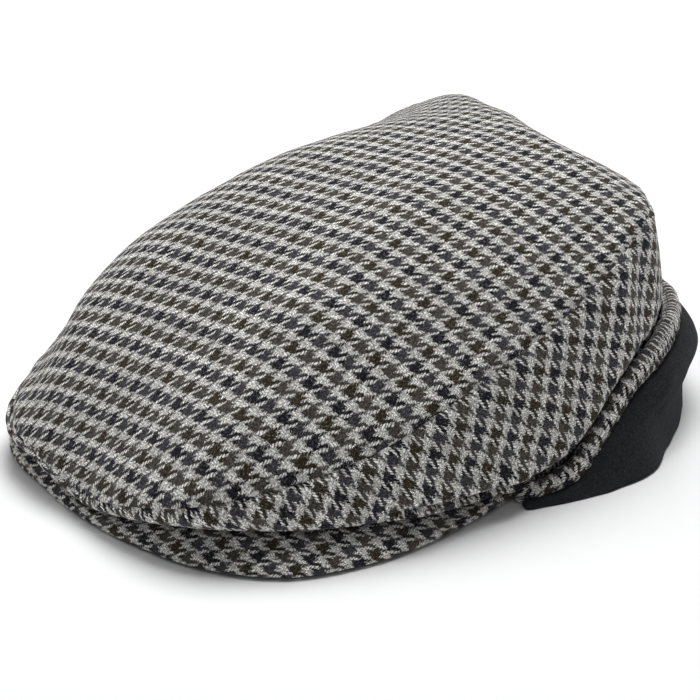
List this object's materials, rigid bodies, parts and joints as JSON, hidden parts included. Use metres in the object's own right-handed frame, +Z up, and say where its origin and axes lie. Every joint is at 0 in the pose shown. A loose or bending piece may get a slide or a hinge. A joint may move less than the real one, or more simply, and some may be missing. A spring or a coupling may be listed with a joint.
{
  "type": "earflap cap",
  "caption": "Soft flat cap with a curved side panel, a covered peak and a fleece ear band folded down below a rolled edge; it warms the head.",
  "frame": {"origin": "middle of the underside of the box around the cap, on the surface it rests on", "axes": "+Z up; the peak points to -Y; +X is the wearer's left"},
  "size_m": [0.2136, 0.2652, 0.108],
  "materials": {
    "tweed": "woven wool in a houndstooth check, matt",
    "fleece": "brushed fleece, matt"
  },
  "bodies": {
    "root": {"top_panel": "tweed", "side_panel_left": "tweed", "side_panel_right": "tweed", "brim": "tweed", "edge_roll": "tweed", "earflap": "fleece"}
  },
  "joints": []
}
